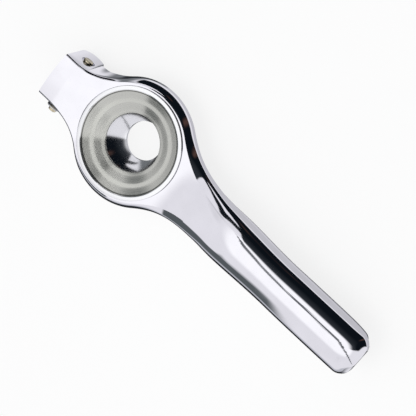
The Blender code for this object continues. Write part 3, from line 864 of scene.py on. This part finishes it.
def chrome_plate(name, colour, smooth, rough, wave_depth):
    """Bright plate on a die casting: faint waviness, hairline rubs and a few duller patches."""
    made, nodes, shader = metal(name, colour, smooth)
    spot = position(nodes)
    patches = nodes.between(nodes.noise(spot, PATCH_SCALE, detail=4.0), *PATCH_LEVELS)
    rubs = nodes.noise(position(nodes, RUB_STRETCH), RUB_SCALE, detail=3.0)
    rubs = nodes.between(rubs, *RUB_LEVELS)
    dull = nodes.math("MAXIMUM", patches, nodes.product(rubs, RUB_SHARE))
    values = {"Value": dull, "To Min": smooth, "To Max": rough}
    nodes.link(nodes.add("ShaderNodeMapRange", values).outputs[0], shader, "Roughness")
    stains = nodes.between(nodes.noise(spot, STAIN_SCALE, detail=3.0), *STAIN_LEVELS)
    shade = nodes.mix(stains, colour, [c * STAIN_SHADE for c in colour])
    nodes.link(shade, shader, "Base Color")
    wave = nodes.noise(spot, WAVE_SCALE, detail=1.0)
    peel = nodes.product(nodes.noise(spot, PEEL_SCALE, detail=1.0), PEEL_SHARE)
    bump(nodes, shader, nodes.math("ADD", wave, peel), wave_depth)
    return made


def turned_steel(name, colour, roughness, anisotropy, groove_depth, shade_low, lip_r=1.0):
    """Steel spun or turned about the piece's own axis: fine rings in shade, gloss and relief.

    Outside lip_r it is polished, with a dark line of painted shade just inside it, standing in for the
    shade where the dish wall meets the rim.
    """
    made, nodes, shader = metal(name, colour, roughness, anisotropy)
    spot = nodes.add("ShaderNodeTexCoord").outputs["Object"]
    x, y, z = nodes.add("ShaderNodeSeparateXYZ", {0: spot}).outputs
    radius = nodes.math("SQRT", nodes.math("ADD", nodes.product(x, x), nodes.product(y, y)))
    along = nodes.math("ADD", radius, nodes.product(z, HEIGHT_SHARE))
    rings = nodes.noise(along, RING_SCALE, detail=3.0, dimensions="1D")
    bands = nodes.noise(along, BAND_SCALE, detail=2.0, dimensions="1D")
    both = nodes.math("ADD", nodes.product(rings, RING_SHARE), nodes.product(bands, BAND_SHARE))
    darker = [c * shade_low for c in colour]
    shade = nodes.mix(nodes.between(both, *SHADE_LEVELS), darker, colour)
    lip = nodes.between(radius, lip_r - LIP_FADE, lip_r + LIP_FADE)
    # Painted shade: a near-black ring just inside the lip, for the shade where the dish wall meets the
    # rim
    groove_shade = nodes.inside(radius, lip_r - GROOVE_SHADE_FROM, lip_r - GROOVE_SHADE_TO, GROOVE_SHADE_FADE)
    shade = nodes.mix(nodes.product(groove_shade, GROOVE_SHADE_SHARE), shade, GROOVE_SHADE_COLOUR)
    nodes.link(nodes.mix(lip, shade, LIP_STEEL), shader, "Base Color")
    least, most = roughness * (1 - GLOSS_SPREAD), roughness * (1 + GLOSS_SPREAD)
    rough = nodes.between(bands, *GLOSS_LEVELS, least, most)
    gloss = nodes.add("ShaderNodeMix", {0: lip, 2: rough, 3: LIP_ROUGHNESS}).outputs[0]
    nodes.link(gloss, shader, "Roughness")
    tangent = nodes.add("ShaderNodeTangent", direction_type="RADIAL", axis="Z").outputs[0]
    nodes.link(tangent, shader, "Tangent")
    shader.inputs["Anisotropic Rotation"].default_value = BRUSH_TURN
    bump(nodes, shader, rings, groove_depth)
    return made


# Stage ----------------------------------------------------------------------

LAVENDER = (0.620, 0.612, 0.655)
SKY_HIGH = (1.56, 1.57, 1.56)
SKY_LOW = (1.20, 1.20, 1.22)
GROUND = (0.76, 0.76, 0.79)
DARK = (0.006, 0.009, 0.013)
BROWN = (0.110, 0.062, 0.050)
DUSK = (0.045, 0.052, 0.060)
SEAM = (0.20, 0.21, 0.22)
FAR_GREY = (0.135, 0.155, 0.160)
FAR_DARK = (0.030, 0.034, 0.038)
FAR_LINE = (0.72, 0.74, 0.78)
PALE = (0.98, 0.98, 0.98)

# Reflected studio. Two figures are where a zone starts to show and where it shows in full, and
# four add its share there. Three are a zone's two edges and how softly they fade. Heights, turns
# and tilts are in degrees, and sides are shares of the direction's unit length.
SKY_HEIGHT = (55.0, 66.0)
GROUND_HEIGHT = (-50.0, -57.0)
UNDER_HEIGHT = (-70.0, -75.0)
SEAM_TILT = (84.0, 89.0, 1.0)
SEAM_SIDE = (0.50, 0.38)
SEAM_NOISE = 26.0
SEAM_NOISE_LEVELS = (0.3, 0.7, -2.0, 2.0)
FAR_TURN = (98.0, 118.0)
FAR_LINE_HEIGHT = (4.0, -4.0)
FAR_DARK_HEIGHT = (-9.0, -13.0)
WALL_TURN = (92.0, 126.0, 7.0)
WALL_HEIGHT = (56.0, 44.0)
WALL_SIDE = (0.28, 0.12, 0.0, 0.9)
STRIP_SIDE = (-0.08, -0.13)
STRIP_HEIGHT = (42.0, 30.0)
STRIP_DROP = 18.0
STRIP_DROP_SIDE = (-0.28, -0.48)

# Dark opening: its two sides, the heights at which its far side stands wider, and its glow
OPENING_TURN = (-36.0, -30.0)
OPENING_EDGE = (2.0, -2.0)
OPENING_WIDTH = 56.0
OPENING_EXTRA = 32.0
EXTRA_LOW_HEIGHT = (36.0, 22.0)
EXTRA_HIGH_HEIGHT = (39.0, 45.0, 2.0)
OPENING_LOW = (-32.0, -28.0)
OPENING_HIGH = (73.0, 59.0)
DUSK_HEIGHT = (38.0, 64.0)
GLOW_TURN = (5.0, 13.0, 4.0)
GLOW_HEIGHT = (40.0, 20.0)
STREAK_TURN = (41.0, 50.0, 3.0)
STREAK_HEIGHT = (12.0, 22.0, 4.0)
STREAK_SHARE = 0.45

# Floor and lamp
FLOOR_SIZE = 4.0
FLOOR_Z = -0.0002
FLOOR_GLOW = 0.82
FLOOR_ROUGHNESS = 0.9
FLOOR_TONES = (0.14, 0.15)
FLOOR_NOISE = 6.0
LAMP_PLACE = (-0.10, -0.25, 1.60)
LAMP_SIZE = 0.9
LAMP_POWER = 6.0


def view_angles(nodes, way):
    """Height over the horizon, turn and tilt of a direction in degrees, with its X and side parts.

    Turns and tilts start from the side that the camera leans to.
    """
    x, y, z = nodes.add("ShaderNodeSeparateXYZ", {0: way}).outputs
    ahead, aside = math.cos(CAMERA_TURN), math.sin(CAMERA_TURN)
    toward = nodes.math("ADD", nodes.product(x, ahead), nodes.product(y, aside))
    across = nodes.math("SUBTRACT", nodes.product(y, ahead), nodes.product(x, aside))
    height = nodes.product(nodes.math("ARCSINE", z), 180 / math.pi)
    turn = nodes.product(nodes.math("ARCTAN2", across, toward), 180 / math.pi)
    tilt = nodes.product(nodes.math("ARCTAN2", z, toward), 180 / math.pi)
    return height, turn, tilt, x, across


def dark_opening(nodes, seen, height, turn):
    """Covers part of the studio with a dark opening, with a brown glow and a streak in it."""
    extra = nodes.between(height, *EXTRA_LOW_HEIGHT)
    extra = nodes.math("MAXIMUM", extra, nodes.inside(height, *EXTRA_HIGH_HEIGHT))
    width = nodes.math("MULTIPLY_ADD", extra, OPENING_EXTRA, OPENING_WIDTH)
    opening = nodes.product(
        nodes.between(turn, *OPENING_TURN),
        nodes.between(nodes.math("SUBTRACT", turn, width), *OPENING_EDGE),
        nodes.between(height, *OPENING_LOW),
        nodes.between(height, *OPENING_HIGH),
    )
    glow = nodes.product(nodes.inside(turn, *GLOW_TURN), nodes.between(height, *GLOW_HEIGHT))
    streak = nodes.product(nodes.inside(turn, *STREAK_TURN), nodes.inside(height, *STREAK_HEIGHT))
    glow = nodes.math("MAXIMUM", glow, nodes.product(streak, STREAK_SHARE))
    room = nodes.mix(nodes.between(height, *DUSK_HEIGHT), DARK, DUSK)
    return nodes.mix(opening, seen, nodes.mix(glow, room, BROWN))


def make_world():
    """A white studio with grey far walls and one dark opening on the camera's side.

    Only reflections see it: the backdrop itself is plain.
    """
    world = bpy.data.worlds.new("studio")
    bpy.context.scene.world = world
    world.use_nodes = True
    nodes = Nodes(world.node_tree)
    world.node_tree.nodes.clear()
    way = nodes.add("ShaderNodeTexCoord").outputs["Generated"]
    height, turn, tilt, x, across = view_angles(nodes, way)
    off = nodes.math("ABSOLUTE", turn)
    wobble = nodes.between(nodes.noise(way, SEAM_NOISE, detail=4.0), *SEAM_NOISE_LEVELS)
    tilt = nodes.math("ADD", tilt, wobble)
    seam = nodes.product(nodes.inside(tilt, *SEAM_TILT), nodes.between(across, *SEAM_SIDE))
    beyond = nodes.between(off, *FAR_TURN)
    walls = nodes.product(
        nodes.inside(off, *WALL_TURN), nodes.between(height, *WALL_HEIGHT), nodes.between(x, *WALL_SIDE)
    )
    lowered = nodes.math("MULTIPLY_ADD", nodes.between(x, *STRIP_DROP_SIDE), STRIP_DROP, height)
    strip = nodes.product(beyond, nodes.between(x, *STRIP_SIDE), nodes.between(lowered, *STRIP_HEIGHT))
    seen = nodes.mix(nodes.between(height, *SKY_HEIGHT), SKY_LOW, SKY_HIGH)
    for share, colour in (
        (seam, SEAM),
        (nodes.between(height, *GROUND_HEIGHT), GROUND),
        (walls, FAR_GREY),
        (strip, FAR_GREY),
        (nodes.product(beyond, nodes.between(height, *FAR_LINE_HEIGHT)), FAR_LINE),
        (nodes.product(beyond, nodes.between(height, *FAR_DARK_HEIGHT)), FAR_DARK),
        (nodes.between(height, *UNDER_HEIGHT), FAR_DARK),
    ):
        seen = nodes.mix(share, seen, colour)
    seen = dark_opening(nodes, seen, height, turn)
    direct = nodes.add("ShaderNodeLightPath").outputs["Is Camera Ray"]
    light = nodes.add("ShaderNodeBackground", {"Color": nodes.mix(direct, seen, PALE), "Strength": 1.0})
    nodes.link(light.outputs[0], nodes.add("ShaderNodeOutputWorld"), "Surface")


def make_floor():
    """A white table that glows a little, so the object's shadow on it stays faint."""
    shape = bmesh.new()
    bmesh.ops.create_grid(shape, x_segments=8, y_segments=8, size=FLOOR_SIZE)
    mesh = bpy.data.meshes.new("floor")
    shape.to_mesh(mesh)
    shape.free()
    floor = bpy.data.objects.new("floor", mesh)
    bpy.context.scene.collection.objects.link(floor)
    floor.location.z = FLOOR_Z
    floor.visible_glossy = False
    made = bpy.data.materials.new("pale_floor")
    made.use_nodes = True
    shader = made.node_tree.nodes["Principled BSDF"]
    shader.inputs["Roughness"].default_value = FLOOR_ROUGHNESS
    shader.inputs["Specular IOR Level"].default_value = 0.0
    shader.inputs["Emission Color"].default_value = (1.0, 1.0, 1.0, 1.0)
    shader.inputs["Emission Strength"].default_value = FLOOR_GLOW
    nodes = Nodes(made.node_tree)
    first, second = [(tone,) * 3 for tone in FLOOR_TONES]
    tone = nodes.mix(nodes.noise(position(nodes), FLOOR_NOISE), first, second)
    nodes.link(tone, shader, "Base Color")
    mesh.materials.append(made)


def make_lamp():
    """A broad soft lamp overhead, aimed at the part. Only its light shows, not its reflection."""
    lamp = bpy.data.lights.new("overhead", "AREA")
    lamp.shape = "DISK"
    lamp.size = LAMP_SIZE
    lamp.energy = LAMP_POWER
    made = bpy.data.objects.new("overhead", lamp)
    bpy.context.scene.collection.objects.link(made)
    made.location = LAMP_PLACE
    made.rotation_mode = "QUATERNION"
    made.rotation_quaternion = (-Vector(LAMP_PLACE)).to_track_quat("-Z", "Y")
    made.visible_glossy = False


def make_camera():
    """The camera's axes: back towards it, right and up in the picture, with its roll."""
    lean, roll = CAMERA_LEAN, CAMERA_ROLL
    side = Vector((math.cos(CAMERA_TURN), math.sin(CAMERA_TURN), 0.0))
    back = side * math.sin(lean) + Vector((0, 0, math.cos(lean)))
    first = side * math.cos(lean) - Vector((0, 0, math.sin(lean)))
    second = Vector((0, 0, 1)).cross(side)
    right = first * math.cos(roll) - second * math.sin(roll)
    up = first * math.sin(roll) + second * math.cos(roll)
    aim = Vector((BOWL_X, 0, LIP_Z)) + right * AIM_RIGHT + up * AIM_UP
    data = bpy.data.cameras.new("camera")
    data.sensor_width = SENSOR
    data.lens = SENSOR * CAMERA_DISTANCE / FRAME_WIDTH
    data.clip_start, data.clip_end = CAMERA_CLIP
    camera = bpy.data.objects.new("camera", data)
    bpy.context.scene.collection.objects.link(camera)
    place = aim + back * CAMERA_DISTANCE
    rows = [[right[i], up[i], back[i], place[i]] for i in range(3)] + [[0, 0, 0, 1]]
    camera.matrix_world = Matrix(rows)
    bpy.context.scene.camera = camera


# The press ------------------------------------------------------------------

def fit(item, body, node, finish):
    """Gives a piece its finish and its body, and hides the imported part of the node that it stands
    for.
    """
    item.data.materials.clear()
    item.data.materials.append(finish)
    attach(item, body)
    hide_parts(node)


make_camera()
make_world()
make_floor()
make_lamp()

chrome = chrome_plate("chrome_plate", LAVENDER, smooth=0.035, rough=0.075, wave_depth=0.000010)
cast_chrome = chrome_plate(
    "cast_chrome", (0.72, 0.71, 0.76), smooth=0.06, rough=0.12, wave_depth=0.000014
)
mirror = turned_steel(
    "mirror_cup", (0.60, 0.60, 0.63), roughness=0.13, anisotropy=0.0,
    groove_depth=0.0000004, shade_low=0.97,
)
satin = turned_steel(
    "satin_dish", (0.47, 0.47, 0.445), roughness=0.26, anisotropy=0.95,
    groove_depth=0.0000015, shade_low=0.84, lip_r=DISH_RIM_R,
)
spring = turned_steel(
    "spring_steel", (0.45, 0.45, 0.46), roughness=0.30, anisotropy=0.4,
    groove_depth=0.000002, shade_low=0.85,
)
pin_brass = turned_steel(
    "pin_brass", (0.52, 0.46, 0.34), roughness=0.20, anisotropy=0.4,
    groove_depth=0.000003, shade_low=0.88,
)
bush_brass = turned_steel(
    "bush_brass", (0.74, 0.58, 0.32), roughness=0.28, anisotropy=0.4,
    groove_depth=0.000003, shade_low=0.85,
)

fit(make_upper_arm(), "lever", "upper_arm", chrome)
fit(make_lower_arm(), "base", "lower_arm", cast_chrome)
fit(make_press_dish(), "lever", "press_dish", satin)
fit(make_dish_ring(), "lever", "dish_ring", spring)
fit(make_juice_cup(), "base", "juice_cup", mirror)
fit(make_pin(), "lever", "hinge_pin", pin_brass)
fit(make_clip(), "lever", "pin_clip", spring)
fit(make_bush("bush_left_turned", -1), "base", "bush_left", bush_brass)
fit(make_bush("bush_right_turned", 1), "base", "bush_right", bush_brass)

bpy.context.scene.view_settings.view_transform = "Standard"
